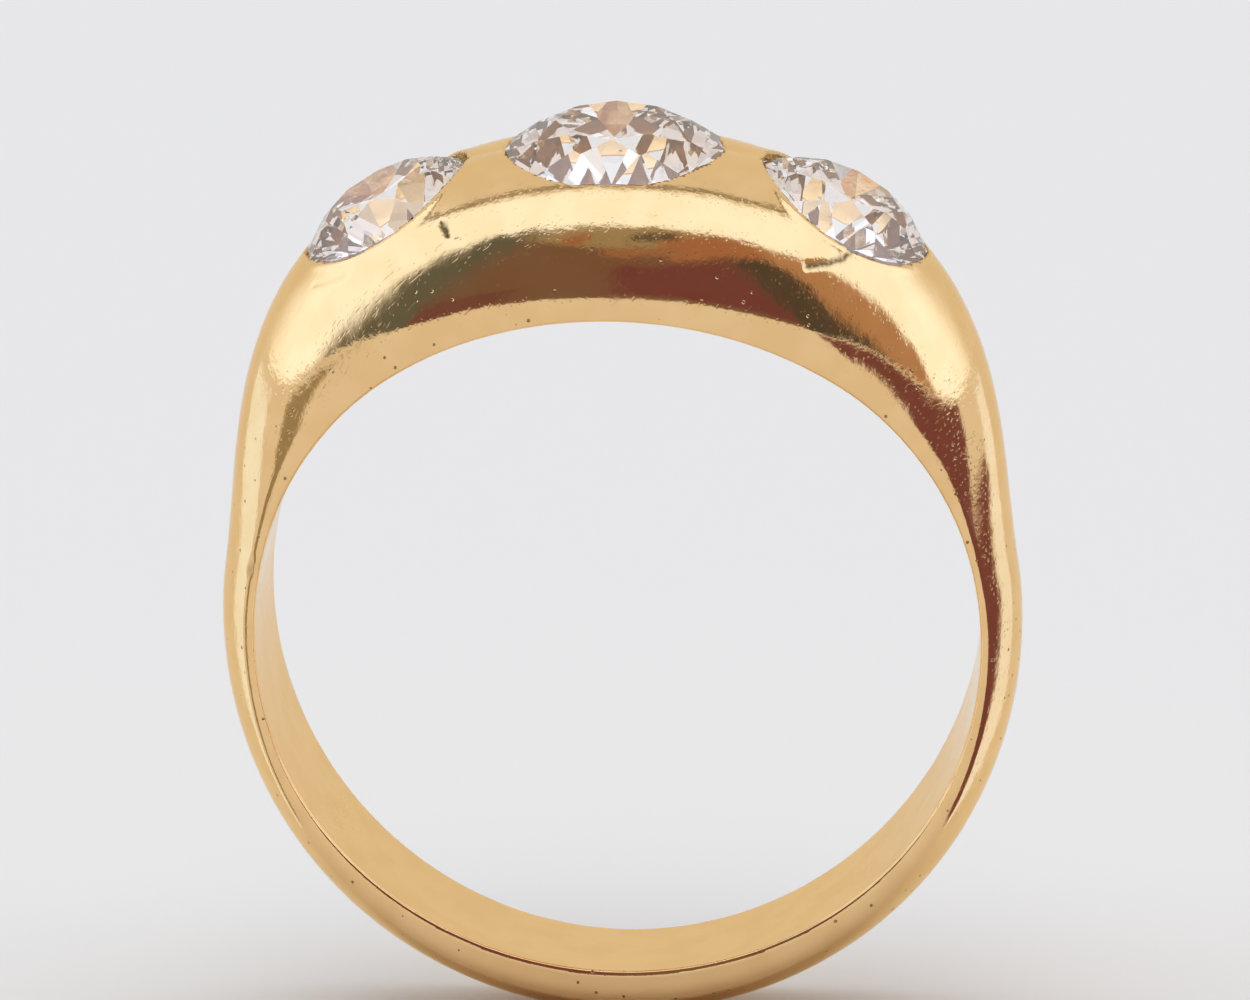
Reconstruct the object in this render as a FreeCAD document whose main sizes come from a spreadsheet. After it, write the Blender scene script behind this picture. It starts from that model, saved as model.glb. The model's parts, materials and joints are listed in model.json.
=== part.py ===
"""Three-stone gypsy ring: a one-piece tapered gold band with three old-cut diamonds sunk into its head.

The origin is the centre of the finger bore. The bore runs along Y, and +Z points through the centre
stone. A place around the ring is an angle from +Z, positive towards +X. Lengths are in mm.
"""
import FreeCAD
import Part
import os
import Sketcher

Vector = FreeCAD.Vector

SIZES = {
    # finger bore
    "bore_radius": 8.6,
    # half width of the band along the finger, and how fast it tapers away from the head and the sides
    "head_half_width": 4.45,
    "side_half_width": 2.2,
    "foot_half_width": 1.45,
    "head_taper": 2.26,
    "foot_taper": 1.9,
    # upright wall beside the bore, measured outwards from the bore
    "head_wall": 0.73,
    "side_wall": 0.22,
    "foot_wall": 0.7,
    # crease between the bevelled shoulder and the outer face: metal thickness and half width there;
    # on the head it runs crease_inset inside the centre stone's girdle
    "side_crease": 0.7,
    "foot_crease": 1.15,
    "crease_inset": 0.305,
    "side_face_half": 1.35,
    "foot_face_half": 1.0,
    "face_taper": 3.7,
    # rise of the domed outer face above the crease
    "head_dome": 0.51,
    "side_dome": 0.27,
    "foot_dome": 0.3,
    # turn of the rounded bevel, from the wall to the crease
    "head_bevel_turn": 40.0,
    "side_bevel_turn": 6.0,
    "foot_bevel_turn": 16.0,
    # the head keeps its thickness to just before the middles of the side stones, by shoulder_lead in
    # degrees, and thins out to the shank by shank_start
    "shoulder_lead": 0.4,
    "shank_start": 81.7,
    # stones: diameters, metal between neighbours, metal over the girdles, and air under the deepest culet
    "centre_diameter": 5.45,
    "side_diameter": 4.65,
    "stone_gap": 0.55,
    "centre_cover": 0.08,
    "side_cover": 0.15,
    "culet_clearance": 0.437,
    # the old cut
    "girdle_thickness": 0.16,
    "table_ratio": 0.5,
    "crown_angle": 32.0,
    "star_length": 0.45,
    "pavilion_angle": 41.0,
    "lower_half_length": 0.6,
    "culet_ratio": 0.07,
    # seats: play round the stone, burnished lip leaning in over the crown, and the open back
    "stone_play": 0.02,
    "lip_reach": 0.1,
    "lip_lean": 20.0,
    "back_hole_ratio": 0.72,
    "back_hole_flare": 12.0,
}
# each stone's name, its set of sizes, and its side: -1 left, 0 centre, 1 right
STONES = [("centre", "centre", 0), ("left", "side", -1), ("right", "side", 1)]
SECTION_COUNT = 13
BORE_STOCK = 0.5
OVER_CUT = 3.0
MAIN_FACETS = 8
HALF_FACETS = 2 * MAIN_FACETS


def make_sheet(doc):
    """The spreadsheet that holds every driving dimension under its own alias."""
    sheet = doc.addObject("Spreadsheet::Sheet", "Sizes")
    for row, (name, value) in enumerate(SIZES.items(), start=1):
        sheet.set(f"A{row}", name)
        sheet.set(f"B{row}", str(value))
        sheet.setAlias(f"B{row}", name)
    doc.recompute()
    return sheet


def stone_depth(size):
    """An expression for a stone's depth from its girdle plane to its culet."""
    cone = f"Sizes.{size}_diameter / 2 * (1 - Sizes.culet_ratio) * tan(Sizes.pavilion_angle)"
    return f"(Sizes.girdle_thickness / 2 + {cone})"


def make_layout(doc):
    """Places that follow from the sheet: the head is thick enough for the stones, which stand side by side.

    head_crease is the head's thickness at the crease, the girdles are heights above the bore, and
    side_turn is the angle from the centre stone to each side stone.
    """
    layout = doc.addObject("App::VarSet", "Layout")
    deepest = (f"max({stone_depth('centre')} + Sizes.centre_cover;"
               f" {stone_depth('side')} + Sizes.side_cover)")
    centre_radius = "(Sizes.bore_radius + Layout.centre_girdle)"
    side_radius = "(Sizes.bore_radius + Layout.side_girdle)"
    gap_turn = f"Sizes.stone_gap / {centre_radius} * 180 / pi"
    values = {
        "head_crease": f"{deepest} + Sizes.culet_clearance",
        "head_face_half": "Sizes.centre_diameter / 2 - Sizes.crease_inset",
        "centre_girdle": "Layout.head_crease - Sizes.centre_cover",
        "side_girdle": "Layout.head_crease - Sizes.side_cover",
        "side_turn": (f"atan2(Sizes.centre_diameter / 2; {centre_radius}) / 1 deg"
                      f" + atan2(Sizes.side_diameter / 2; {side_radius}) / 1 deg + {gap_turn}"),
        "head_end": "Layout.side_turn - Sizes.shoulder_lead",
    }
    for name, expression in values.items():
        layout.addProperty("App::PropertyFloat", name)
        layout.setExpression(name, expression)
        doc.recompute()


def origin_item(body, role):
    """One of the body's own origin planes or axes."""
    return [item for item in body.Origin.OriginFeatures if item.Role == role][0]


def new_sketch(body, name, role, turn_axis=None, turn="0"):
    """A sketch on one of the body's origin planes, turned about one of its own axes by an expression."""
    sketch = body.newObject("Sketcher::SketchObject", name)
    sketch.AttachmentSupport = [(origin_item(body, role), "")]
    sketch.MapMode = "FlatFace"
    if turn_axis is not None:
        sketch.AttachmentOffset = FreeCAD.Placement(Vector(), FreeCAD.Rotation(turn_axis, 1.0))
        sketch.setExpression("AttachmentOffset.Rotation.Angle", turn)
    return sketch


def bind(sketch, name, constraint, expression):
    """Add a named dimension to a sketch and bind it to the spreadsheet."""
    index = sketch.addConstraint(constraint)
    sketch.renameConstraint(index, name)
    sketch.setExpression(f"Constraints.{name}", expression)


def polygon(sketch, corners):
    """A closed outline through corners, each given as two expressions; every corner is dimensioned."""
    points = [Vector(float(sketch.evalExpression(across)), float(sketch.evalExpression(up)), 0)
              for across, up in corners]
    for start, end in zip(points, points[1:] + points[:1]):
        sketch.addGeometry(Part.LineSegment(start, end), False)
    count = len(points)
    for line in range(count):
        sketch.addConstraint(Sketcher.Constraint("Coincident", line, 2, (line + 1) % count, 1))
    for line, (point, (across, up)) in enumerate(zip(points, corners)):
        bind(sketch, f"across_{line}", Sketcher.Constraint("DistanceX", -1, 1, line, 1, point.x), across)
        bind(sketch, f"up_{line}", Sketcher.Constraint("DistanceY", -1, 1, line, 1, point.y), up)


# ------------------------------------------------------------------------------------------- band
def shoulder_share(angle):
    """An expression that is 1 on the head, 0 on the shank, and eases between them."""
    ease = f"(1 + cos(180 * ({angle} - Layout.head_end) / (Sizes.shank_start - Layout.head_end))) / 2"
    return f"({angle} <= Layout.head_end ? 1 : ({angle} >= Sizes.shank_start ? 0 : {ease}))"


def cosine_share(angle, taper):
    """An expression that falls from 1 at the head to 0 at the sides as a power of the cosine."""
    return f"(cos({angle}) ^ Sizes.{taper})" if angle < 90.0 else "0"


def foot_share(angle):
    """An expression that rises from 0 at the sides to 1 at the foot of the ring."""
    return f"(abs(cos({angle})) ^ Sizes.foot_taper)" if angle > 90.0 else "0"


def graded(quality, angle, head_share, head_values="Sizes"):
    """An expression for a dimension with its own values at the head, the sides and the foot."""
    side = f"Sizes.side_{quality}"
    return (f"({side} + ({head_values}.head_{quality} - {side}) * {head_share}"
            f" + (Sizes.foot_{quality} - {side}) * {foot_share(angle)})")


def band_section(body, index, angle):
    """The cross-section at one angle: flat wall, rounded bevel, crease and domed outer face."""
    sketch = new_sketch(body, f"band_section_{index:02d}", "YZ_Plane", Vector(1, 0, 0), str(angle))
    half_width = graded("half_width", angle, cosine_share(angle, "head_taper"))
    face_half = graded("face_half", angle, cosine_share(angle, "face_taper"), "Layout")
    wall = f"(Sizes.bore_radius + {graded('wall', angle, shoulder_share(angle))})"
    crease = f"(Sizes.bore_radius + {graded('crease', angle, shoulder_share(angle), 'Layout')})"
    dome = graded("dome", angle, shoulder_share(angle))
    bevel_turn = graded("bevel_turn", angle, shoulder_share(angle))
    chord = f"sqrt(({half_width} - {face_half}) ^ 2 + ({crease} - {wall}) ^ 2)"
    bevel_radius = f"{chord} / (2 * sin({bevel_turn} / 2))"
    dome_radius = f"({face_half} ^ 2 + {dome} ^ 2) / (2 * {dome})"

    def value(expression):
        return float(sketch.evalExpression(expression))

    inner = value("Sizes.bore_radius") - BORE_STOCK
    wide, flat = value(half_width), value(face_half)
    wall_top, crease_top, rise = value(wall), value(crease), value(dome)
    bulge = value(chord) / 2 * value(f"tan({bevel_turn} / 4)")
    outwards = Vector(crease_top - wall_top, wide - flat, 0).normalize() * bulge
    bevel_middle = Vector((wide + flat) / 2, (wall_top + crease_top) / 2, 0) + outwards

    def mirrored(point):
        return Vector(-point.x, point.y, 0)

    foot_right, wall_right = Vector(wide, inner, 0), Vector(wide, wall_top, 0)
    crease_right = Vector(flat, crease_top, 0)
    sketch.addGeometry([
        Part.LineSegment(mirrored(foot_right), foot_right),
        Part.LineSegment(foot_right, wall_right),
        Part.Arc(wall_right, bevel_middle, crease_right),
        Part.Arc(crease_right, Vector(0, crease_top + rise, 0), mirrored(crease_right)),
        Part.Arc(mirrored(crease_right), mirrored(bevel_middle), mirrored(wall_right)),
        Part.LineSegment(mirrored(wall_right), mirrored(foot_right)),
    ], False)
    for edge in range(6):
        sketch.addConstraint(Sketcher.Constraint("Coincident", edge, 2, (edge + 1) % 6, 1))
    sketch.addConstraint([
        Sketcher.Constraint("Symmetric", 0, 1, 0, 2, -2),
        Sketcher.Constraint("Symmetric", 1, 2, 5, 1, -2),
        Sketcher.Constraint("Symmetric", 3, 1, 3, 2, -2),
        Sketcher.Constraint("Vertical", 1),
        Sketcher.Constraint("Equal", 2, 4),
    ])
    bind(sketch, "half_width", Sketcher.Constraint("DistanceX", -1, 1, 0, 2, wide), half_width)
    bind(sketch, "inner_radius", Sketcher.Constraint("DistanceY", -1, 1, 0, 2, inner),
         f"Sizes.bore_radius - {BORE_STOCK}")
    bind(sketch, "wall_radius", Sketcher.Constraint("DistanceY", -1, 1, 1, 2, wall_top), wall)
    bind(sketch, "face_half", Sketcher.Constraint("DistanceX", -1, 1, 3, 1, flat), face_half)
    bind(sketch, "crease_radius", Sketcher.Constraint("DistanceY", -1, 1, 3, 1, crease_top), crease)
    bind(sketch, "bevel_radius", Sketcher.Constraint("Radius", 2, value(bevel_radius)), bevel_radius)
    bind(sketch, "dome_radius", Sketcher.Constraint("Radius", 3, value(dome_radius)), dome_radius)
    return sketch


def cut_bore(body):
    """The true round finger bore along Y, through the whole band."""
    sketch = new_sketch(body, "bore_outline", "XZ_Plane")
    radius = float(sketch.evalExpression("Sizes.bore_radius"))
    sketch.addGeometry(Part.Circle(Vector(), Vector(0, 0, 1), radius), False)
    sketch.addConstraint(Sketcher.Constraint("Coincident", 0, 3, -1, 1))
    bind(sketch, "bore_radius", Sketcher.Constraint("Radius", 0, radius), "Sizes.bore_radius")
    bore = body.newObject("PartDesign::Pocket", "finger_bore")
    bore.Profile = sketch
    bore.Type = "ThroughAll"
    bore.SideType = "Symmetric"


def cut_seat(body, name, size, side):
    """One stone's seat: lip leaning in over the crown, girdle recess, bearing and open back."""
    lean = f"{-side} * Layout.side_turn"
    sketch = new_sketch(body, f"{name}_seat_outline", "XZ_Plane", Vector(0, 0, 1), lean)
    play, girdle = "Sizes.stone_play", f"(Sizes.bore_radius + Layout.{size}_girdle)"
    radius = f"(Sizes.{size}_diameter / 2)"
    girdle_top = f"({girdle} + Sizes.girdle_thickness / 2)"
    girdle_bottom = f"({girdle} - Sizes.girdle_thickness / 2 - {play})"
    recess = f"({radius} + {play})"
    opening = f"({radius} - Sizes.lip_reach)"
    lip = f"({girdle_top} + {play} + Sizes.lip_reach * tan(Sizes.crown_angle))"
    back = f"({radius} * Sizes.back_hole_ratio)"
    bearing = f"({girdle_bottom} - ({recess} - {back}) * tan(Sizes.pavilion_angle))"
    top, bottom = f"({girdle} + {OVER_CUT})", f"(Sizes.bore_radius - {OVER_CUT})"
    polygon(sketch, [
        ("0", bottom),
        (f"{back} + ({bearing} - {bottom}) * tan(Sizes.back_hole_flare)", bottom),
        (back, bearing),
        (recess, girdle_bottom),
        (recess, f"{girdle_top} + {play}"),
        (opening, lip),
        (f"{opening} - ({top} - {lip}) * tan(Sizes.lip_lean)", top),
        ("0", top),
    ])
    seat = body.newObject("PartDesign::Groove", f"{name}_seat")
    seat.Profile = sketch
    seat.ReferenceAxis = (sketch, ["V_Axis"])
    seat.Angle = 360.0
    return seat


def make_band(doc):
    """The one-piece shank, shoulders and head."""
    body = doc.addObject("PartDesign::Body", "band")
    step = 180.0 / (SECTION_COUNT - 1)
    sections = [band_section(body, index, index * step) for index in range(SECTION_COUNT)]
    doc.recompute()
    half = body.newObject("PartDesign::AdditiveLoft", "right_half_blank")
    half.Profile = sections[0]
    half.Sections = sections[1:]
    doc.recompute()
    blank = body.newObject("PartDesign::Mirrored", "band_blank")
    blank.Originals = [half]
    blank.MirrorPlane = (origin_item(body, "YZ_Plane"), [""])
    body.Tip = blank
    cut_bore(body)
    for name, size, side in STONES:
        cut_seat(body, name, size, side)
    return body


# --------------------------------------------------------------------------------------- diamonds
def cut_facets(body, name, azimuth, inner, outer, count):
    """Cut one flat facet and repeat it round the stone.

    inner and outer are two points of the facet in the upright plane at the azimuth, as (radius, height)
    expressions. Above the girdle the metal over the line is removed, below the girdle what is under it.
    """
    sketch = new_sketch(body, f"{name}_outline", "XZ_Plane", Vector(0, 1, 0), str(azimuth))
    slope = f"(({inner[1]} - {outer[1]}) / ({outer[0]} - {inner[0]}))"
    far = f"(2 * {outer[0]})"
    height_on_axis = f"({inner[1]} + {slope} * {inner[0]})"
    height_far_out = f"({height_on_axis} - {slope} * {far})"
    polygon(sketch, [("0", height_on_axis), (far, height_far_out), (far, height_on_axis)])
    facet = body.newObject("PartDesign::Pocket", name)
    facet.Profile = sketch
    facet.Type = "ThroughAll"
    facet.SideType = "Symmetric"
    ring_of_facets = body.newObject("PartDesign::PolarPattern", f"{name}_round")
    ring_of_facets.Originals = [facet]
    ring_of_facets.Axis = (origin_item(body, "Z_Axis"), [""])
    ring_of_facets.Angle = 360.0
    ring_of_facets.Occurrences = count
    body.Tip = ring_of_facets
    return ring_of_facets


def make_diamond(doc, name, size, side):
    """An old-cut round stone. side is -1, 0 or 1 for its place left of, on or right of the centre."""
    body = doc.addObject("PartDesign::Body", f"{name}_diamond")
    radius = f"(Sizes.{size}_diameter / 2)"
    table, culet = f"({radius} * Sizes.table_ratio)", f"({radius} * Sizes.culet_ratio)"
    half_girdle = "(Sizes.girdle_thickness / 2)"
    crown_top = f"({half_girdle} + ({radius} - {table}) * tan(Sizes.crown_angle))"
    depth = stone_depth(size)

    blank_outline = new_sketch(body, "blank_outline", "XY_Plane")
    blank_radius = float(blank_outline.evalExpression(radius))
    blank_outline.addGeometry(Part.Circle(Vector(), Vector(0, 0, 1), blank_radius), False)
    blank_outline.addConstraint(Sketcher.Constraint("Coincident", 0, 3, -1, 1))
    bind(blank_outline, "radius", Sketcher.Constraint("Radius", 0, blank_radius), radius)
    blank = body.newObject("PartDesign::Pad", "blank")
    blank.Profile = blank_outline
    blank.SideType = "Two sides"
    blank.setExpression("Length", crown_top)
    blank.setExpression("Length2", depth)

    step = 360.0 / MAIN_FACETS
    star_turn, half_turn = step / 2, step / 4
    table_edge = f"({table} * cos({star_turn}))"
    star_tip = f"({table_edge} + Sizes.star_length * ({radius} - {table_edge}))"
    star_tip_height = f"({crown_top} - ({star_tip} * cos({star_turn}) - {table}) * tan(Sizes.crown_angle))"
    lower_tip = f"({radius} * (1 - Sizes.lower_half_length))"
    lower_tip_height = f"(({lower_tip} * cos({star_turn}) - {culet}) * tan(Sizes.pavilion_angle) - {depth})"
    girdle_at_half = f"({radius} * cos({half_turn}))"

    cut_facets(body, "crown_mains", 0.0, (table, crown_top), (radius, half_girdle), MAIN_FACETS)
    cut_facets(body, "pavilion_mains", 0.0, (culet, f"(-{depth})"), (radius, f"(-{half_girdle})"),
               MAIN_FACETS)
    cut_facets(body, "stars", star_turn, (table_edge, crown_top), (star_tip, star_tip_height), MAIN_FACETS)
    cut_facets(body, "upper_halves", half_turn, (f"({star_tip} * cos({half_turn}))", star_tip_height),
               (girdle_at_half, half_girdle), HALF_FACETS)
    cut_facets(body, "lower_halves", half_turn, (f"({lower_tip} * cos({half_turn}))", lower_tip_height),
               (girdle_at_half, f"(-{half_girdle})"), HALF_FACETS)

    lean = f"({side} * Layout.side_turn)"
    girdle = f"(Sizes.bore_radius + Layout.{size}_girdle)"
    body.Placement = FreeCAD.Placement(Vector(), FreeCAD.Rotation(Vector(0, 1, 0), 1.0))
    body.setExpression("Placement.Rotation.Angle", lean)
    body.setExpression("Placement.Base.x", f"{girdle} * sin({lean})")
    body.setExpression("Placement.Base.z", f"{girdle} * cos({lean})")
    return body


def main():
    doc = FreeCAD.newDocument("gypsy_ring")
    make_sheet(doc)
    make_layout(doc)
    parts = [make_band(doc)]
    parts += [make_diamond(doc, name, size, side) for name, size, side in STONES]
    doc.recompute()
    for item in doc.Objects:
        if "Invalid" in item.State or "Error" in item.State:
            raise RuntimeError(f"{item.Name} did not compute: {item.State}")
    os.makedirs("parts", exist_ok=True)
    for body in parts:
        if body.Shape.isNull() or not body.Shape.isValid():
            raise RuntimeError(f"{body.Label} has no valid shape")
        body.Shape.exportStep(os.path.join("parts", f"{body.Label}.step"))
        print(body.Label, round(body.Shape.Volume, 3), body.Shape.BoundBox, len(body.Shape.Solids))


main()
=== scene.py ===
"""Looks of the three-stone gypsy ring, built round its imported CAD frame.

The band is meshed from a smooth field: the tapered section swept round the finger bore, less its cuts and
the three seats. The stones are cut plane by plane. Blender units are metres; the sizes and the field are in
millimetres, in the CAD frame: the bore runs along Y, +Z points through the centre stone, and a place round
the ring is an angle from +Z towards +X. The front is the side at -Y.
"""
import json
import math
import random

import bmesh
import bpy
import numpy as np
from mathutils import Matrix, Vector


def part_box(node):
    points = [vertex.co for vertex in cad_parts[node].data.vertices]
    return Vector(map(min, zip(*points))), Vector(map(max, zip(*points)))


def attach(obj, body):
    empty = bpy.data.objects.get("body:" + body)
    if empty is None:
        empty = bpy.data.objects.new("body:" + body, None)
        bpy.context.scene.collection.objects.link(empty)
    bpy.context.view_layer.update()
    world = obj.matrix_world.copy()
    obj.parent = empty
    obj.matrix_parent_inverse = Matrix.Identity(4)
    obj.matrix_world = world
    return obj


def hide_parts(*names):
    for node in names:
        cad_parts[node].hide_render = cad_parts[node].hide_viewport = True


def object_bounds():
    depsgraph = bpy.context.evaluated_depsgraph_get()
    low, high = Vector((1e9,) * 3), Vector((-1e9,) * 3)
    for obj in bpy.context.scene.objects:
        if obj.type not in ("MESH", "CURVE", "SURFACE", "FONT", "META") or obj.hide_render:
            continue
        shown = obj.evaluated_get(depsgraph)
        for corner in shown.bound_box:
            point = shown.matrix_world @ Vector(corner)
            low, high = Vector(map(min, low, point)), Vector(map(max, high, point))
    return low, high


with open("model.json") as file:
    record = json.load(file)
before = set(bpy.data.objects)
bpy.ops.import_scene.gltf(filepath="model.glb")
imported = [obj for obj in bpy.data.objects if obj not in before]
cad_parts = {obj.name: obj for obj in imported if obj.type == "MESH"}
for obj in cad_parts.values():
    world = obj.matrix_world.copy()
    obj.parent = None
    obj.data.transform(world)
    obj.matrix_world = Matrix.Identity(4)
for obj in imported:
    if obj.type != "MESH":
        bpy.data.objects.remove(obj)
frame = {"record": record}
cad_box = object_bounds()

MM = 0.001
BORE = frame["record"]["mounts"][0]["dims"]["r_mm"]

# ---------------------------------------------------------------------------- sizes (mm and degrees)
# the section's head, side and foot values, as in the CAD part; wall and crease are heights over the bore
HALF_WIDTH = (4.45, 2.2, 1.45)
WALL = (0.73, 0.22, 0.7)
CREASE = (2.8, 0.7, 1.15)
FACE_HALF = (2.42, 1.35, 1.0)
DOME = (0.51, 0.27, 0.3)
BEVEL_TURN = (40.0, 6.0, 16.0)
# powers that the sizes fall off by, and the angles between which the shoulder turns into the shank
HEAD_TAPER, FOOT_TAPER, FACE_TAPER = 2.26, 1.9, 3.7
HEAD_END, SHANK_START = 27.6, 81.7
# widths over which the worn edges are rounded
CREASE_SOFT, WALL_SOFT, BORE_SOFT, SEAT_SOFT = 0.05, 0.16, 0.14, 0.06
# stones: place round the ring, radius, girdle height over the bore, lean to the front, metal's cover
SIDE_ANGLE = 28.0
STONES = {
    "centre_diamond": (0.0, 2.725, 2.72, 4.5, 0.18),
    "left_diamond": (-SIDE_ANGLE, 2.325, 2.65, 2.5, 0.11),
    "right_diamond": (SIDE_ANGLE, 2.325, 2.65, 2.5, 0.11),
}
# the stones' old cut: girdle thickness, shares of the radius, angles, and how far hand cutting strays
GIRDLE, TABLE_RATIO, CULET_RATIO = 0.16, 0.5, 0.07
STAR_LENGTH, LOWER_HALF = 0.45, 0.6
CROWN_ANGLE, PAVILION_ANGLE = 32.0, 41.0
STRAY_TURN, STRAY_TILT = 1.6, 0.9
GIRDLE_SIDES = 96
# the table and culet are nearly level, and are left so
LEVEL_FACET = 0.01
# seats: where the crease covers the centre stone's front, the play under a stone, the hole behind it, and
# how far the hole goes on past the bore's surface
COVER_FRONT, PLAY = 2.43, 0.02
BACK_HOLE_RATIO, BACK_HOLE_FLARE = 0.72, 12.0
HOLE_PAST_BORE = 2.0
# burnished rims at the front and back of the side stones: height, half width and distance outside the seat,
# and the share of the stone's radius along the finger at which they start and over which they rise
RIM_RISE, RIM_HALF, RIM_OUT = 0.025, 0.10, 0.14
RIM_START, RIM_FADE = 0.35, 0.3
# cuts and worn marks in the bevel: places as (degrees round the ring, along the finger), half width, depth
CUTS = [
    ([(-20.3, -2.62), (-20.0, -2.78), (-19.9, -2.92)], 0.07, 0.05),
    ([(-18.9, -3.14), (-18.2, -3.18)], 0.06, 0.009),
    ([(-27.7, -2.80), (-27.6, -3.06)], 0.06, 0.007),
    ([(5.1, -3.22), (5.8, -3.26)], 0.08, 0.010),
    ([(25.8, -3.09), (28.2, -2.76), (29.5, -2.52), (30.0, -2.31)], 0.08, 0.024),
    ([(-38.6, -1.82), (-37.1, -2.06), (-35.5, -2.27), (-34.1, -2.36)], 0.07, 0.012),
    ([(31.9, -2.11), (35.0, -1.79), (37.8, -1.33)], 0.07, 0.010),
    ([(-78.4, -2.16), (-77.4, -2.22)], 0.08, 0.04),
]
# how far over the bore the cuts and the dirt reach their full depth, the depth of cut that is full of dirt,
# and the share and half width of the dirt line round a stone
CUT_FADE, DIRT_FADE, DIRTY_DEPTH = 0.3, 0.5, 0.024
RIM_DIRT, RIM_DIRT_HALF = 0.25, 0.03
# mesh cells: the head's half span, and steps round the head, round the shank, outwards and along the
# finger; then the space round the band, the slope's step, and the rounds and longest move of settling
HEAD_SPAN = 52.0
HEAD_STEP, SHANK_STEP, OUT_STEP, ALONG_STEP = 0.45, 1.6, 0.086, 0.086
OUT_MARGIN, ALONG_MARGIN = 0.3, 0.2
SLOPE_STEP, SETTLE_ROUNDS, SETTLE_MOVE = 0.004, 4, 0.06
# the four cells round a grid edge, in order, as steps round the ring, outwards and along the finger, for
# edges in each of those directions
CELLS_ROUND = [
    [(0, -1, -1), (0, 0, -1), (0, 0, 0), (0, -1, 0)],
    [(-1, 0, -1), (-1, 0, 0), (0, 0, 0), (0, 0, -1)],
    [(-1, -1, 0), (0, -1, 0), (0, 0, 0), (-1, 0, 0)],
]

# -------------------------------------------------- colours (linear), textures, light and camera
# gold: its two tones, the tint of its glancing reflections, and dirt
GOLD_PALE, GOLD_DEEP = (0.92, 0.62, 0.30, 1.0), (0.89, 0.585, 0.27, 1.0)
GOLD_EDGE, GRIME = (0.97, 0.86, 0.66, 1.0), (0.16, 0.11, 0.045, 1.0)
# noises, as scale per mm and detail: fine dints, broad swell and uneven gloss
DINTS, SWELL, GLOSS = (6.0, 4.0), (1.1, 1.0), (2.3, 2.0)
# relief: the dints' height in mm, and the other heights and depths as shares of it
RELIEF = 0.0032
SWELL_HEIGHT, SCRATCH_DEPTH, PIT_DEPTH = 4.0, 0.3, 5.0
# the values of the swell between which the tone changes, and how dirty the pits are
TONE_CHANGE, PIT_GRIME = (0.35, 0.65), 0.7
# scratches: their directions as turns in degrees, the squeeze that makes cells long and thin, the distances
# from a cell's middle over which a scratch ends, and the share of cells that have none
SCRATCH_TURNS = [(20.0, 40.0, 10.0), (70.0, 15.0, 65.0), (5.0, 75.0, 110.0)]
SCRATCH_SQUEEZE, SCRATCH_EDGE, SCRATCH_CELLS = (1.3, 12.0, 12.0), (0.34, 0.18), (0.66, 0.70)
# casting pits: cells per mm, the same two pairs, and the radii over which they end outside and inside
PIT_SCALE, PIT_EDGE, PIT_CELLS = 3.1, (0.15, 0.08), (0.47, 0.51)
PIT_OUTER, PIT_INNER = (BORE + 2.0, BORE + 0.5), (BORE + 0.02, BORE + 0.06)
# roughness: least, and what uneven gloss, scratches and dirt add
ROUGH_LEAST, ROUGH_GLOSS, ROUGH_SCRATCH, ROUGH_GRIME = 0.03, 0.10, 0.10, 0.35
# diamond: refractive index, body colour and the warm tint of its reflections
DIAMOND_INDEX = 2.417
DIAMOND_BODY, DIAMOND_TINT = (1.0, 0.965, 0.94, 1.0), (1.0, 0.91, 0.80, 1.0)
# the light tent
PALE_BACK = (0.80, 0.80, 0.80, 1.0)
BRIGHT_SIDES = (1.25, 1.45, 1.85, 1.0)
OVERHEAD = (1.16, 1.38, 1.74, 1.0)
CEILING_GAP = (0.32, 0.30, 0.26, 1.0)
ROOM = (0.20, 0.13, 0.11, 1.0)
# where its parts start and stop: azimuths and elevations in degrees, and the overhead panel's and the gap's
# own edges as ahead per unit of rise
SIDES_ROUND, SIDES_TOP = (135.0, 105.0), (75.0, 45.0)
OVERHEAD_START, OVERHEAD_FOOT = (-0.38, -0.30), (5.0, 15.0)
GAP_START, GAP_STOP, GAP_FOOT = (-0.48, -0.44), (-0.37, -0.40), (30.0, 45.0)
# what the camera sees behind the ring, and the floor
PLAIN_BACKDROP, FLOOR_COLOUR = (0.79, 0.79, 0.79, 1.0), (0.785, 0.750, 0.685, 1.0)
# the light that rays from inside a stone meet, and how far it takes the tent's place
STONE_LIGHT, STONE_SHARE = (1.0, 0.91, 0.85, 1.0), 0.66
# the lamp over the floor: its strength and its angle in degrees; the floor's half size in metres
FLOOR_LIGHT, FLOOR_LIGHT_ANGLE, FLOOR_HALF = 0.95, 60.0, 1.5
# cards on the floor: name, height over it, side of the ring, first and last azimuth, near and far end (mm),
# and colour
CARDS = [
    ("dark_card_near", 0.1, 1, 54.0, 119.0, 3.0, 100.0, (0.19, 0.075, 0.09, 1.0)),
    ("dark_card_far", 0.2, 1, 44.0, 98.0, 65.0, 600.0, (0.19, 0.075, 0.09, 1.0)),
    ("bright_card_right", 0.1, 1, 117.0, 135.0, 3.0, 300.0, (1.0, 1.15, 1.5, 1.0)),
    ("bright_card_left", 0.1, -1, -131.0, -103.0, 3.0, 300.0, (1.0, 1.2, 1.55, 1.0)),
    ("grey_card_left", 0.1, -1, -82.0, -60.0, 3.0, 300.0, (0.34, 0.30, 0.22, 1.0)),
]
# the degrees and the ratio of distances over which a card fades out; and where it fans out from: how far
# inside the ring's side, and how far in front of its middle (mm)
CARD_SOFT, CARD_FADE, CARD_INSET, CARD_AHEAD = 3.0, 1.3, 0.2, 1.5
# the card in front of the bore's middle (mm)
EDGE_CARD_X, EDGE_CARD_Z, EDGE_CARD_Y = (-5.0, -4.0, 4.0, 5.0), (-4.5, -4.0, 2.5, 3.0), -3.3
EDGE_CARD_COLOUR = (1.3, 1.35, 1.45, 1.0)
# the room behind the camera: how far round it reaches, and where it starts, as ahead per unit of rise
ROOM_ROUND, ROOM_START = (76.0, 60.0), (0.20, 0.28)
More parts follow.
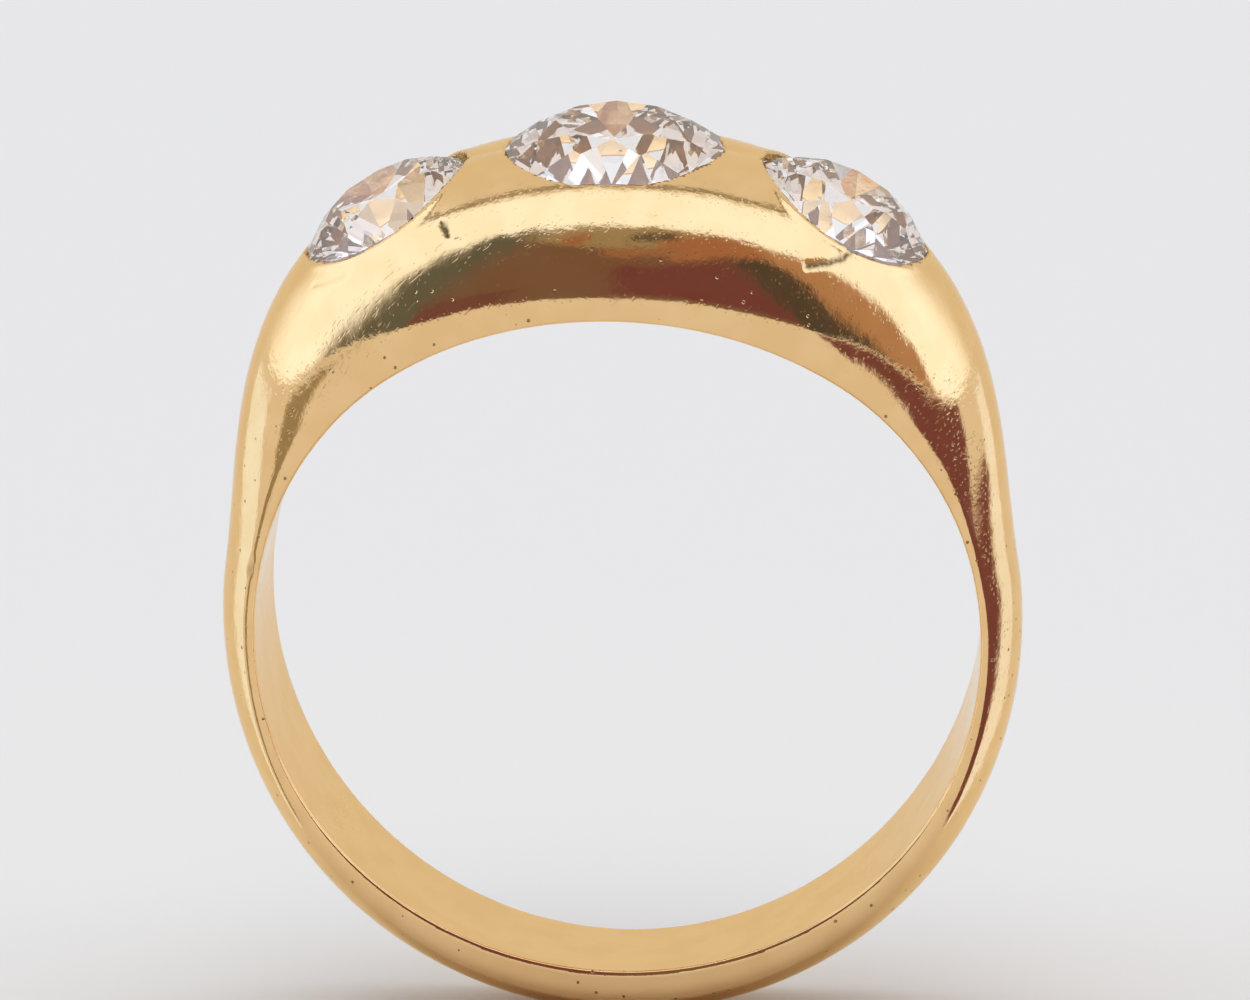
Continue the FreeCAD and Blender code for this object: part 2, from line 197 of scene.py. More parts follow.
# its patches: azimuth, half width, lowest and highest elevation, softness in degrees, and colour
ROOM_PATCHES = [
    (0.0, 70.0, 61.0, 90.0, 2.0, (0.36, 0.32, 0.25, 1.0)),
    (-59.0, 9.0, -10.0, 66.0, 7.0, (0.13, 0.15, 0.15, 1.0)),
    (50.0, 9.0, -10.0, 54.0, 3.0, (0.09, 0.08, 0.08, 1.0)),
    (67.0, 9.0, -10.0, 62.0, 3.0, (0.48, 0.31, 0.22, 1.0)),
    (42.0, 22.0, 52.0, 68.0, 3.0, (0.40, 0.20, 0.13, 1.0)),
    (20.0, 22.0, 5.0, 50.0, 4.0, (0.18, 0.07, 0.09, 1.0)),
    (-38.0, 12.0, 0.0, 25.0, 4.0, (0.18, 0.09, 0.10, 1.0)),
    (10.0, 18.0, 56.0, 61.0, 1.5, (0.34, 0.19, 0.13, 1.0)),
    (20.0, 15.0, 66.0, 70.0, 1.5, (0.10, 0.10, 0.09, 1.0)),
    (-28.0, 7.0, 62.0, 70.0, 1.5, (0.36, 0.19, 0.12, 1.0)),
]
# camera: distance in bore radii, angles in degrees, target in bore radii, lens and sensor width in mm
CAMERA_DISTANCE, CAMERA_ELEVATION, CAMERA_AZIMUTH, CAMERA_ROLL = 20.0, 18.94, 3.94, -0.92
CAMERA_TARGET = (0.0136, 0.0, 0.3347)
CAMERA_LENS, CAMERA_SENSOR = 207.1, 36.0


# ------------------------------------------------------------------------------------- band's field
def soft_max(a, b, soft):
    """The larger of two distances, rounded where they meet."""
    overlap = np.maximum(soft - np.abs(a - b), 0.0)
    return np.maximum(a, b) + overlap * overlap / (4.0 * soft)


def graded(values, head_share, foot_share):
    """The side's value, moved towards the head's and the foot's by their shares."""
    head, side, foot = values
    return side + (head - side) * head_share + (foot - side) * foot_share


def section(angle):
    """The section's sizes at an angle from the head, in degrees."""
    cosine = np.cos(np.radians(angle))
    ease = np.clip((angle - HEAD_END) / (SHANK_START - HEAD_END), 0.0, 1.0)
    shoulder = (1.0 + np.cos(np.pi * ease)) / 2.0
    foot = np.maximum(-cosine, 0.0) ** FOOT_TAPER
    ahead = np.maximum(cosine, 0.0)
    return {
        "half_width": graded(HALF_WIDTH, ahead ** HEAD_TAPER, foot),
        "face_half": graded(FACE_HALF, ahead ** FACE_TAPER, foot),
        "wall": BORE + graded(WALL, shoulder, foot),
        "crease": BORE + graded(CREASE, shoulder, foot),
        "dome": graded(DOME, shoulder, foot),
        "turn": np.radians(graded(BEVEL_TURN, shoulder, foot)),
    }


def shank_field(angle, radius, along):
    """Signed distance, near enough, to the band without its seats. Negative inside the metal."""
    part = section(np.abs(angle))
    along = np.abs(along)
    wide, flat = part["half_width"], part["face_half"]
    wall, crease, rise = part["wall"], part["crease"], part["dome"]
    across, up = wide - flat, crease - wall
    chord = np.hypot(across, up)
    bevel_radius = chord / (2.0 * np.sin(part["turn"] / 2.0))
    sink = bevel_radius * np.cos(part["turn"] / 2.0)
    bevel_y = (wide + flat) / 2.0 - sink * up / chord
    bevel_r = (wall + crease) / 2.0 - sink * across / chord
    bevel = np.hypot(along - bevel_y, radius - bevel_r) - bevel_radius
    dome_radius = (flat ** 2 + rise ** 2) / (2.0 * rise)
    dome = np.hypot(along, radius - (crease + rise - dome_radius)) - dome_radius
    outer = soft_max(bevel, dome, CREASE_SOFT)
    outer = soft_max(outer, along - wide, WALL_SOFT)
    return soft_max(outer, BORE - radius, BORE_SOFT)


def stone_frame(angle, girdle_height, lean):
    """A stone's middle, and its side, back and up directions."""
    turn, tip = math.radians(angle), math.radians(lean)
    out = np.array([math.sin(turn), 0.0, math.cos(turn)])
    side = np.array([math.cos(turn), 0.0, -math.sin(turn)])
    finger = np.array([0.0, 1.0, 0.0])
    up = math.cos(tip) * out - math.sin(tip) * finger
    back = math.cos(tip) * finger + math.sin(tip) * out
    return (BORE + girdle_height) * out, side, back, up


def seat_field(x, y, z, angle, stone_radius, girdle_height, lean, cover):
    """Signed distance, near enough, to the hole that one stone sits in. Negative inside the hole."""
    middle, side, back, up = stone_frame(angle, girdle_height, lean)
    x, y, z = x - middle[0], y - middle[1], z - middle[2]
    height = x * up[0] + y * up[1] + z * up[2]
    behind = x * back[0] + y * back[1] + z * back[2]
    reach = np.hypot(x * side[0] + y * side[1] + z * side[2], behind)
    opening = stone_radius - cover
    bearing = stone_radius + PLAY + (height + GIRDLE / 2.0) / math.tan(math.radians(PAVILION_ANGLE))
    back_start = (BACK_HOLE_RATIO - 1.0) * stone_radius * math.tan(math.radians(PAVILION_ANGLE))
    flare = np.maximum(back_start - height, 0.0) * math.tan(math.radians(BACK_HOLE_FLARE))
    hole = reach - np.maximum(np.minimum(opening, bearing), BACK_HOLE_RATIO * stone_radius + flare)
    if angle == 0.0:
        hole = np.maximum(hole, -behind - COVER_FRONT)
    return np.maximum(hole, -height - girdle_height - HOLE_PAST_BORE)


def cut_depth(angle, radius, along):
    """How deep the cuts and worn marks go at a place. They fade out towards the bore."""
    depth = 0.0
    for places, half, deep in CUTS:
        nearest = np.inf
        for (turn_a, y_a), (turn_b, y_b) in zip(places, places[1:]):
            run = math.radians(turn_b - turn_a) * (BORE + CREASE[0]), y_b - y_a
            here = np.radians(angle - turn_a) * radius, along - y_a
            share = np.clip((here[0] * run[0] + here[1] * run[1]) / (run[0] ** 2 + run[1] ** 2), 0.0, 1.0)
            nearest = np.minimum(nearest, np.hypot(here[0] - share * run[0], here[1] - share * run[1]))
        depth = depth + deep * np.exp(-(nearest / half) ** 2)
    return depth * np.clip((radius - BORE) / CUT_FADE, 0.0, 1.0)


def band_field(x, y, z, angle=None, radius=None):
    """Signed distance, near enough, to the whole band. Negative inside the metal."""
    if angle is None:
        angle, radius = np.degrees(np.arctan2(x, z)), np.hypot(x, z)
    field = shank_field(angle, radius, y) + cut_depth(angle, radius, y)
    for stone in STONES.values():
        seat = seat_field(x, y, z, *stone)
        if stone[0] != 0.0:
            rim = RIM_RISE * np.clip((np.abs(y) / stone[1] - RIM_START) / RIM_FADE, 0.0, 1.0)
            field = field - rim * np.exp(-((seat - RIM_OUT) / RIM_HALF) ** 2)
        field = soft_max(field, -seat, SEAT_SOFT)
    return field


def dirt_share(x, y, z):
    """1 in the deepest cuts, less in the fine line round each stone, 0 on clean metal."""
    angle, radius = np.degrees(np.arctan2(x, z)), np.hypot(x, z)
    share = np.clip(cut_depth(angle, radius, y) / DIRTY_DEPTH, 0.0, 1.0) ** 3
    for stone in STONES.values():
        line = np.exp(-(seat_field(x, y, z, *stone) / RIM_DIRT_HALF) ** 2)
        share = np.maximum(share, RIM_DIRT * line)
    return share * np.clip((radius - BORE) / DIRT_FADE, 0.0, 1.0)


def gradient(points):
    """The field's slope at each point."""
    slopes = []
    for axis in range(3):
        ahead, behind = points.copy(), points.copy()
        ahead[:, axis] += SLOPE_STEP
        behind[:, axis] -= SLOPE_STEP
        slopes.append((band_field(*ahead.T) - band_field(*behind.T)) / (2.0 * SLOPE_STEP))
    return np.stack(slopes, axis=1)


# ------------------------------------------------------------------------------------ band's mesh
def round_steps():
    """Angles of the cells round the ring: fine on the head, coarser on the shank."""
    head = np.arange(-HEAD_SPAN, HEAD_SPAN, HEAD_STEP)
    shank_count = int(round((360.0 - 2.0 * HEAD_SPAN) / SHANK_STEP))
    shank = np.linspace(HEAD_SPAN, 360.0 - HEAD_SPAN, shank_count, endpoint=False)
    angles = np.concatenate([head, shank])
    return np.where(angles > 180.0, angles - 360.0, angles)


def crossings(inside, axis):
    """The grid edges along an axis that cross the surface, and whether each starts inside the metal."""
    if axis == 0:
        first, second = inside, np.roll(inside, -1, axis=0)
    elif axis == 1:
        first, second = inside[:, :-1, :], inside[:, 1:, :]
    else:
        first, second = inside[:, :, :-1], inside[:, :, 1:]
    places = np.stack(np.nonzero(first != second), axis=1)
    for other in {1, 2} - {axis}:
        places = places[(places[:, other] > 0) & (places[:, other] < inside.shape[other] - 1)]
    return places, first[tuple(places.T)]


def net_mesh():
    """Vertices and quads of the field's zero surface, one vertex in each cell that it crosses."""
    angles = round_steps()
    low, high = (np.array(corner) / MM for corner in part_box("band"))
    reach = max(high[2], -low[2], high[0]) + OUT_MARGIN
    radii = np.arange(BORE - OUT_MARGIN, reach, OUT_STEP)
    alongs = np.arange(low[1] - ALONG_MARGIN, high[1] + ALONG_MARGIN, ALONG_STEP)
    a, r, y = angles[:, None, None], radii[None, :, None], alongs[None, None, :]
    x, z = r * np.sin(np.radians(a)), r * np.cos(np.radians(a))
    inside = band_field(x, y + 0.0 * x, z, a, r) < 0.0

    count = np.zeros((len(angles), len(radii) - 1, len(alongs) - 1), dtype=np.int8)
    for shifted in (inside, np.roll(inside, -1, axis=0)):
        for out in (slice(0, -1), slice(1, None)):
            for along in (slice(0, -1), slice(1, None)):
                count += shifted[:, out, along]
    active = (count > 0) & (count < 8)
    index = np.full(count.shape, -1, dtype=np.int64)
    index[active] = np.arange(active.sum())

    ia, ir, iy = np.nonzero(active)
    next_angle = angles[(ia + 1) % len(angles)]
    gap = (next_angle - angles[ia]) % 360.0
    middle = np.radians(angles[ia] + gap / 2.0)
    radius = radii[ir] + OUT_STEP / 2.0
    along = alongs[iy] + ALONG_STEP / 2.0
    points = np.stack([radius * np.sin(middle), along, radius * np.cos(middle)], axis=1)

    quads = []
    for axis, cells in enumerate(CELLS_ROUND):
        places, starts = crossings(inside, axis)
        corners = []
        for step in cells:
            i, j, k = (places + step).T
            corners.append(index[i % len(angles), j, k])
        quad = np.stack(corners, axis=1)
        quad[~starts] = quad[~starts][:, ::-1]
        quads.append(quad)
    return points, np.concatenate(quads)


def settle(points):
    """Move each vertex onto the surface along the field's slope, and return the surface normals."""
    for _ in range(SETTLE_ROUNDS):
        slope = gradient(points)
        size = np.maximum((slope ** 2).sum(axis=1), 1e-6)
        move = -(band_field(*points.T) / size)[:, None] * slope
        length = np.linalg.norm(move, axis=1, keepdims=True)
        points = points + move * np.minimum(1.0, SETTLE_MOVE / np.maximum(length, 1e-9))
    slope = gradient(points)
    return points, slope / np.linalg.norm(slope, axis=1, keepdims=True)


def make_band(material):
    """The gold band, with the field's own normals and a dirt value at each vertex."""
    points, quads = net_mesh()
    points, normals = settle(points)
    first, second, third = (points[quads[:, n]] for n in (0, 1, 2))
    facing = np.cross(second - first, third - first)
    if (facing * normals[quads[:, 0]]).sum() < 0.0:
        quads = quads[:, ::-1]
    mesh = bpy.data.meshes.new("gold_band")
    mesh.from_pydata((points * MM).tolist(), [], quads.tolist())
    mesh.shade_smooth()
    mesh.normals_split_custom_set_from_vertices(normals.tolist())
    dirt = mesh.attributes.new("dirt", "FLOAT", "POINT")
    dirt.data.foreach_set("value", dirt_share(*points.T).astype(np.float32))
    mesh.materials.append(material)
    mesh.update()
    band = bpy.data.objects.new("gold_band", mesh)
    bpy.context.scene.collection.objects.link(band)
    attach(band, "root")
    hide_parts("band")
    print("band", len(points), "vertices", len(quads), "quads")


# ----------------------------------------------------------------------------------------- stones
def facet_through(*corners):
    """A plane through three points, as a point and a normal that faces away from the stone's middle."""
    first, second, third = (Vector(corner) for corner in corners)
    normal = (second - first).cross(third - first).normalized()
    return first, normal if normal.dot(first) > 0.0 else -normal


def ring_point(radius, azimuth, height):
    """A point in a stone's own frame. Azimuth 0 is its front."""
    turn = math.radians(azimuth)
    return radius * math.sin(turn), -radius * math.cos(turn), height


def old_cut_facets(radius):
    """The planes of an old European cut: table, bezels, stars, halves, mains and culet."""
    table, culet, half = radius * TABLE_RATIO, radius * CULET_RATIO, GIRDLE / 2.0
    crown_slope, pavilion_slope = (math.tan(math.radians(a)) for a in (CROWN_ANGLE, PAVILION_ANGLE))
    top = half + (radius - table) * crown_slope
    bottom = -half - (radius - culet) * pavilion_slope
    eighth = math.cos(math.radians(22.5))
    table_edge = table * eighth
    star_tip = table_edge + STAR_LENGTH * (radius - table_edge)
    star_height = top - (star_tip * eighth - table) * crown_slope
    lower_tip = radius * (1.0 - LOWER_HALF)
    lower_height = bottom + (lower_tip * eighth - culet) * pavilion_slope
    planes = [(Vector((0.0, 0.0, top)), Vector((0.0, 0.0, 1.0))),
              (Vector((0.0, 0.0, bottom)), Vector((0.0, 0.0, -1.0)))]
    for turn in range(0, 360, 45):
        between = turn + 22.5
        for tilt, side in ((CROWN_ANGLE, 1.0), (PAVILION_ANGLE, -1.0)):
            level, rise = math.sin(math.radians(tilt)), side * math.cos(math.radians(tilt))
            normal = Vector(ring_point(level, turn, rise))
            planes.append((Vector(ring_point(radius, turn, side * half)), normal))
        tip = ring_point(star_tip, between, star_height)
        lower = ring_point(lower_tip, between, lower_height)
        planes.append(facet_through(ring_point(table, turn, top), ring_point(table, turn + 45.0, top), tip))
        for corner in (turn, turn + 45.0):
            for edge, end in ((half, tip), (-half, lower)):
                planes.append(facet_through(ring_point(radius, corner, edge),
                                            ring_point(radius, between, edge), end))
    return planes


def strayed(planes, seed):
    """The planes tilted a little about their own points, as hand cutting leaves them."""
    chance = random.Random(seed)
    for point, normal in planes:
        turn = Matrix.Rotation(math.radians(chance.uniform(-STRAY_TURN, STRAY_TURN)), 3, "Z")
        tilt = math.radians(chance.uniform(-STRAY_TILT, STRAY_TILT))
        level = Vector((0.0, 0.0, 1.0)).cross(normal)
        if level.length > LEVEL_FACET:
            turn = Matrix.Rotation(tilt, 3, level) @ turn
        yield point, turn @ normal


def make_stone(name, seed, material):
    """One old-cut diamond: a round blank with each facet's plane cut from it, set in its place."""
    angle, radius, girdle_height, lean, _ = STONES[name]
    shape = bmesh.new()
    bmesh.ops.create_cone(shape, cap_ends=True, segments=GIRDLE_SIDES,
                          radius1=radius, radius2=radius, depth=2.0 * radius)
    for point, normal in strayed(old_cut_facets(radius), seed):
        parts = shape.verts[:] + shape.edges[:] + shape.faces[:]
        cut = bmesh.ops.bisect_plane(shape, geom=parts, dist=1e-5, clear_outer=True,
                                     plane_co=point, plane_no=normal)
        edges = [part for part in cut["geom_cut"] if isinstance(part, bmesh.types.BMEdge)]
        if len(edges) > 2:
            bmesh.ops.contextual_create(shape, geom=edges)
    bmesh.ops.recalc_face_normals(shape, faces=shape.faces[:])
    mesh = bpy.data.meshes.new("cut_" + name)
    shape.to_mesh(mesh)
    shape.free()
    middle, side, back, up = stone_frame(angle, girdle_height, lean)
    place = np.eye(4)
    place[:3, 0], place[:3, 1], place[:3, 2], place[:3, 3] = side, back, up, middle
    mesh.transform(Matrix.Scale(MM, 4) @ Matrix(place.tolist()))
    mesh.materials.append(material)
    stone = bpy.data.objects.new("cut_" + name, mesh)
    bpy.context.scene.collection.objects.link(stone)
    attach(stone, "root")
    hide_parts(name)
    print(name, len(mesh.polygons), "facets", [round(v / MM, 3) for v in stone.dimensions])


# -------------------------------------------------------------------------------------- materials
def new_material(name):
    """An empty node material, with its nodes and links."""
    material = bpy.data.materials.new(name)
    material.use_nodes = True
    nodes = material.node_tree.nodes
    nodes.clear()
    return material, nodes, material.node_tree.links


class Maths:
    """Short calls for building a chain of nodes in one node tree."""

    def __init__(self, tree):
        self.nodes, self.links = tree.nodes, tree.links

    def put(self, value, socket):
        if isinstance(value, (int, float, tuple)):
            socket.default_value = value
        else:
            self.links.new(value, socket)

    def do(self, kind, *values):
        node = self.nodes.new("ShaderNodeMath")
        node.operation = kind
        for value, socket in zip(values, node.inputs):
            self.put(value, socket)
        return node.outputs[0]

    def step(self, value, low, high):
        """0 below low, 1 above high, and smooth between. low may be over high, which turns it round."""
        node = self.nodes.new("ShaderNodeMapRange")
        node.interpolation_type = "SMOOTHSTEP"
        self.put(value, node.inputs["Value"])
        if low > high:
            low, high = high, low
            node.inputs["To Min"].default_value, node.inputs["To Max"].default_value = 1.0, 0.0
        node.inputs["From Min"].default_value = low
        node.inputs["From Max"].default_value = high
        return node.outputs["Result"]

    def noise(self, place, scale, detail):
        node = self.nodes.new("ShaderNodeTexNoise")
        self.links.new(place, node.inputs["Vector"])
        node.inputs["Scale"].default_value = scale
        node.inputs["Detail"].default_value = detail
        return node.outputs["Fac"]

    def cells(self, place, scale):
        node = self.nodes.new("ShaderNodeTexVoronoi")
        self.links.new(place, node.inputs["Vector"])
        node.inputs["Scale"].default_value = scale
        return node

    def vector(self, kind, place, by=None, scale=None):
        node = self.nodes.new("ShaderNodeVectorMath")
        node.operation = kind
        self.links.new(place, node.inputs[0])
        if by is not None:
            node.inputs[1].default_value = by
        if scale is not None:
            node.inputs["Scale"].default_value = scale
        return node.outputs[0]

    def turned(self, place, degrees):
        """The place turned about all three axes, so that stretched patterns run in another direction."""
        node = self.nodes.new("ShaderNodeVectorRotate")
        node.rotation_type = "EULER_XYZ"
        self.links.new(place, node.inputs["Vector"])
        node.inputs["Rotation"].default_value = tuple(math.radians(value) for value in degrees)
        return node.outputs[0]

    def times(self, first, *others):
        for other in others:
            first = self.do("MULTIPLY", first, other)
        return first

    def mix(self, share, colour_a, colour_b):
        node = self.nodes.new("ShaderNodeMix")
        node.data_type = "RGBA"
        self.put(share, node.inputs["Factor"])
        self.put(colour_a, node.inputs["A"])
        self.put(colour_b, node.inputs["B"])
        return node.outputs["Result"]


def gold_material():
    """Worn 18 carat gold: soft polish with fine dints, scratches, casting pits and dirt in the cuts."""
    material, nodes, links = new_material("worn_yellow_gold")
    maths = Maths(material.node_tree)
    place = nodes.new("ShaderNodeTexCoord")
    in_mm = maths.vector("SCALE", place.outputs["Object"], scale=1.0 / MM)
    split = nodes.new("ShaderNodeSeparateXYZ")
    links.new(in_mm, split.inputs[0])
    across = maths.times(split.outputs["X"], split.outputs["X"])
    radius = maths.do("SQRT", maths.do("ADD", across, maths.times(split.outputs["Z"], split.outputs["Z"])))

    dints = maths.noise(in_mm, *DINTS)
    swell = maths.noise(in_mm, *SWELL)
    scratches = 0.0
    for turn in SCRATCH_TURNS:
        dash = maths.cells(maths.vector("MULTIPLY", maths.turned(in_mm, turn), SCRATCH_SQUEEZE), 1.0)
        line = maths.times(maths.step(dash.outputs["Distance"], *SCRATCH_EDGE),
                           maths.step(dash.outputs["Color"], *SCRATCH_CELLS))
        scratches = maths.do("MAXIMUM", scratches, line)
    pit = maths.cells(in_mm, PIT_SCALE)
    by_the_bore = maths.times(maths.step(radius, *PIT_OUTER), maths.step(radius, *PIT_INNER))
    pits = maths.times(maths.step(pit.outputs["Distance"], *PIT_EDGE),
                       maths.step(pit.outputs["Color"], *PIT_CELLS), by_the_bore)

    height = maths.do("ADD", dints, maths.times(swell, SWELL_HEIGHT))
    height = maths.do("SUBTRACT", height, maths.times(scratches, SCRATCH_DEPTH))
    height = maths.do("SUBTRACT", height, maths.times(pits, PIT_DEPTH))
    bump = nodes.new("ShaderNodeBump")
    bump.inputs["Distance"].default_value = RELIEF * MM
    links.new(height, bump.inputs["Height"])

    dirt = nodes.new("ShaderNodeAttribute")
    dirt.attribute_name = "dirt"
    grime = maths.do("MAXIMUM", dirt.outputs["Fac"], maths.times(pits, PIT_GRIME))
    tone = maths.mix(maths.step(swell, *TONE_CHANGE), GOLD_PALE, GOLD_DEEP)
    tone = maths.mix(grime, tone, GRIME)
    rough = maths.do("ADD", maths.times(maths.noise(in_mm, *GLOSS), ROUGH_GLOSS), ROUGH_LEAST)
    rough = maths.do("ADD", rough, maths.times(scratches, ROUGH_SCRATCH))
    rough = maths.do("ADD", rough, maths.times(grime, ROUGH_GRIME))

    shader = nodes.new("ShaderNodeBsdfPrincipled")
    shader.inputs["Metallic"].default_value = 1.0
    shader.inputs["Specular Tint"].default_value = GOLD_EDGE
    links.new(tone, shader.inputs["Base Color"])
    links.new(rough, shader.inputs["Roughness"])
    links.new(bump.outputs["Normal"], shader.inputs["Normal"])
    output = nodes.new("ShaderNodeOutputMaterial")
    links.new(shader.outputs["BSDF"], output.inputs["Surface"])
    return material


def diamond_material():
    """Clear, slightly warm diamond."""
    material, nodes, links = new_material("old_cut_diamond")
    output = nodes.new("ShaderNodeOutputMaterial")
    shader = nodes.new("ShaderNodeBsdfPrincipled")
    shader.inputs["Base Color"].default_value = DIAMOND_BODY
    shader.inputs["Specular Tint"].default_value = DIAMOND_TINT
    shader.inputs["Roughness"].default_value = 0.0
    shader.inputs["IOR"].default_value = DIAMOND_INDEX
    shader.inputs["Transmission Weight"].default_value = 1.0
    links.new(shader.outputs["BSDF"], output.inputs["Surface"])
    return material


def floor_material():
    """The pale, matt floor."""
    material, nodes, links = new_material("pale_floor")
    output = nodes.new("ShaderNodeOutputMaterial")
    shader = nodes.new("ShaderNodeBsdfDiffuse")
    shader.inputs["Color"].default_value = FLOOR_COLOUR
    links.new(shader.outputs["BSDF"], output.inputs["Surface"])
    return material


# ---------------------------------------------------------------------------------- stage and light
def make_floor():
    """A plain pale floor that the ring stands on."""
    mesh = bpy.data.meshes.new("floor")
    z, half = cad_box[0][2], FLOOR_HALF
    corners = [(-half, -half, z), (half, -half, z), (half, half, z), (-half, half, z)]
    mesh.from_pydata(corners, [], [(0, 1, 2, 3)])
    floor = bpy.data.objects.new("floor", mesh)
    mesh.materials.append(floor_material())
    bpy.context.scene.collection.objects.link(floor)


def make_card(name, rows, colour):
    """A glowing sheet that only reflections see. rows hold its points, and it fades along its border."""
    count, wide = len(rows), len(rows[0])
    quads, cover = [], []
    for row in range(count):
        for column in range(wide):
            cover.append(float(0 < row < count - 1 and 0 < column < wide - 1))
            if row < count - 1 and column < wide - 1:
                corner = row * wide + column
                quads.append((corner, corner + 1, corner + wide + 1, corner + wide))
    mesh = bpy.data.meshes.new(name)
    mesh.from_pydata([point for row in rows for point in row], [], quads)
    mesh.attributes.new("cover", "FLOAT", "POINT").data.foreach_set("value", cover)

    material, nodes, links = new_material(name)
    glow, clear = nodes.new("ShaderNodeEmission"), nodes.new("ShaderNodeBsdfTransparent")
    glow.inputs["Color"].default_value = colour
    share, mix = nodes.new("ShaderNodeAttribute"), nodes.new("ShaderNodeMixShader")
    share.attribute_name = "cover"
    links.new(share.outputs["Fac"], mix.inputs["Fac"])
    links.new(clear.outputs[0], mix.inputs[1])
    links.new(glow.outputs[0], mix.inputs[2])
    output = nodes.new("ShaderNodeOutputMaterial")
    links.new(mix.outputs[0], output.inputs["Surface"])
    mesh.materials.append(material)
    card = bpy.data.objects.new(name, mesh)
    card.visible_camera = card.visible_diffuse = card.visible_transmission = card.visible_shadow = False
    bpy.context.scene.collection.objects.link(card)


def make_edge_card():
    """A small card before the bore's middle, which lights the worn edge between wall and bore."""
    rows = [[(x * MM, EDGE_CARD_Y * MM, z * MM) for x in EDGE_CARD_X] for z in EDGE_CARD_Z]
    make_card("edge_card", rows, EDGE_CARD_COLOUR)


def make_floor_card(name, over, side, start, stop, near, far, colour):
    """A flat wedge a little over the floor, fanning out from one side of the ring."""
    low, high = cad_box
    middle = Vector((side * (high[0] - CARD_INSET * MM), -CARD_AHEAD * MM, low[2] + over * MM))
    rows = []
    for reach in (near, CARD_FADE * near, far / CARD_FADE, far):
        rows.append([])
        for degrees in (start, start + CARD_SOFT, stop - CARD_SOFT, stop):
            turn = math.radians(degrees)
            rows[-1].append(middle + reach * MM * Vector((math.sin(turn), -math.cos(turn), 0.0)))
    make_card(name, rows, colour)


def make_floor_light():
    """A broad soft light from above that brightens the floor and leaves no glint on the ring."""
    data = bpy.data.lights.new("floor_light", "SUN")
    data.energy = FLOOR_LIGHT
    data.angle = math.radians(FLOOR_LIGHT_ANGLE)
    lamp = bpy.data.objects.new("floor_light", data)
    lamp.visible_glossy = lamp.visible_transmission = False
    bpy.context.scene.collection.objects.link(lamp)


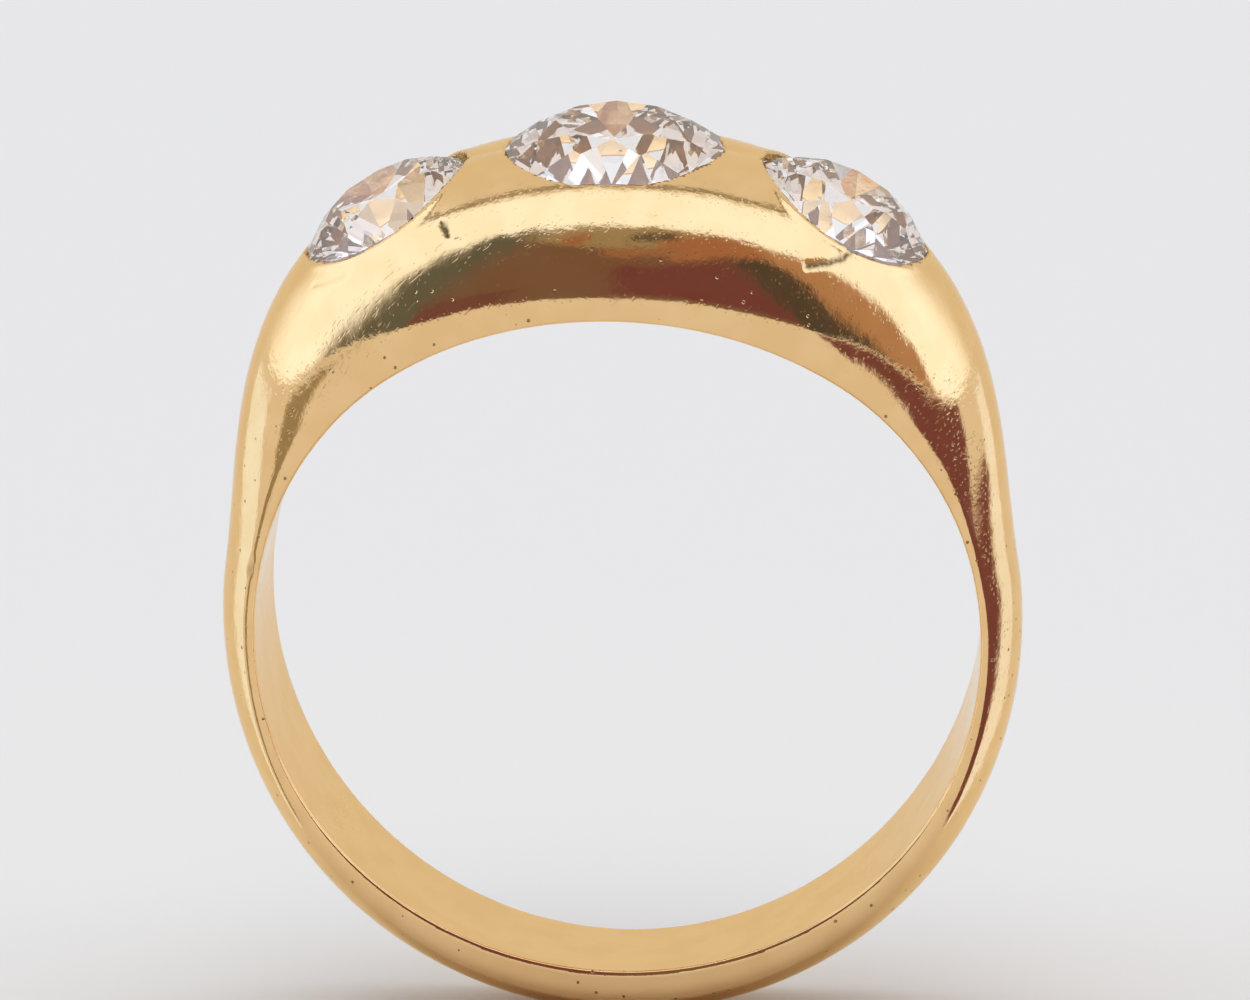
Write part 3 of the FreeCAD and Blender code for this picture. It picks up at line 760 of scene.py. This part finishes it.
def make_world():
    """A light tent: pale back, a cool panel overhead, two bright sides and a dark room behind the camera.

    Azimuth is 0 towards the camera's side (-Y), positive towards +X; ahead is how far a direction leans
    to that side for each unit that it rises, so that lines of equal ahead are straight on the ceiling.
    """
    world = bpy.data.worlds.new("studio")
    bpy.context.scene.world = world
    world.use_nodes = True
    maths = Maths(world.node_tree)
    nodes, links = maths.nodes, maths.links
    nodes.clear()
    place = nodes.new("ShaderNodeTexCoord")
    split = nodes.new("ShaderNodeSeparateXYZ")
    links.new(place.outputs["Generated"], split.inputs[0])
    forward = maths.do("MULTIPLY", split.outputs["Y"], -1.0)
    elevation = maths.do("DEGREES", maths.do("ARCSINE", split.outputs["Z"]))
    azimuth = maths.do("DEGREES", maths.do("ARCTAN2", split.outputs["X"], forward))
    ahead = maths.do("DIVIDE", forward, maths.do("MAXIMUM", split.outputs["Z"], 0.01))

    colour = PALE_BACK
    sides = maths.step(maths.do("ABSOLUTE", azimuth), *SIDES_ROUND)
    colour = maths.mix(maths.times(sides, maths.step(elevation, *SIDES_TOP)), colour, BRIGHT_SIDES)
    overhead = maths.times(maths.step(ahead, *OVERHEAD_START), maths.step(elevation, *OVERHEAD_FOOT))
    colour = maths.mix(overhead, colour, OVERHEAD)
    gap = maths.times(maths.step(ahead, *GAP_START), maths.step(ahead, *GAP_STOP),
                      maths.step(elevation, *GAP_FOOT))
    colour = maths.mix(gap, colour, CEILING_GAP)
    camera_side = maths.step(ahead, *ROOM_START)
    room = maths.times(maths.step(maths.do("ABSOLUTE", azimuth), *ROOM_ROUND), camera_side)
    colour = maths.mix(room, colour, ROOM)
    for side, half, low, high, soft, paint in ROOM_PATCHES:
        away = maths.do("ABSOLUTE", maths.do("SUBTRACT", azimuth, side))
        patch = maths.times(maths.step(away, half + soft, half - soft),
                            maths.step(elevation, low - soft, low + soft),
                            maths.step(elevation, high + soft, high - soft), camera_side)
        colour = maths.mix(patch, colour, paint)

    seen = nodes.new("ShaderNodeLightPath")
    colour = maths.mix(maths.times(seen.outputs["Is Transmission Ray"], STONE_SHARE), colour, STONE_LIGHT)
    colour = maths.mix(seen.outputs["Is Camera Ray"], colour, PLAIN_BACKDROP)
    background = nodes.new("ShaderNodeBackground")
    links.new(colour, background.inputs["Color"])
    output = nodes.new("ShaderNodeOutputWorld")
    links.new(background.outputs[0], output.inputs["Surface"])


def make_camera():
    """The view: the camera stands well back, a little above and to the right of the ring's face."""
    elevation, azimuth, roll = (math.radians(v) for v in (CAMERA_ELEVATION, CAMERA_AZIMUTH, CAMERA_ROLL))
    towards = Vector((math.sin(azimuth) * math.cos(elevation),
                      -math.cos(azimuth) * math.cos(elevation), math.sin(elevation)))
    place = CAMERA_DISTANCE * BORE * MM * towards
    target = Vector(CAMERA_TARGET) * BORE * MM
    ahead = (target - place).normalized()
    right = ahead.cross(Vector((0.0, 0.0, 1.0))).normalized()
    up = right.cross(ahead)
    turned_right = math.cos(roll) * right + math.sin(roll) * up
    turned_up = math.cos(roll) * up - math.sin(roll) * right
    data = bpy.data.cameras.new("camera")
    data.lens, data.sensor_width = CAMERA_LENS, CAMERA_SENSOR
    data.clip_start, data.clip_end = 0.01, 10.0
    camera = bpy.data.objects.new("camera", data)
    camera.matrix_world = Matrix((
        (turned_right.x, turned_up.x, -ahead.x, place.x),
        (turned_right.y, turned_up.y, -ahead.y, place.y),
        (turned_right.z, turned_up.z, -ahead.z, place.z),
        (0.0, 0.0, 0.0, 1.0)))
    bpy.context.scene.collection.objects.link(camera)
    bpy.context.scene.camera = camera


bpy.context.scene.view_settings.view_transform = "Standard"
make_band(gold_material())
diamond = diamond_material()
for seed, name in enumerate(STONES):
    make_stone(name, seed, diamond)
make_floor()
make_floor_light()
for card in CARDS:
    make_floor_card(*card)
make_edge_card()
make_world()
make_camera()
settings = bpy.context.scene.cycles
settings.max_bounces, settings.glossy_bounces, settings.transmission_bounces = 24, 16, 24
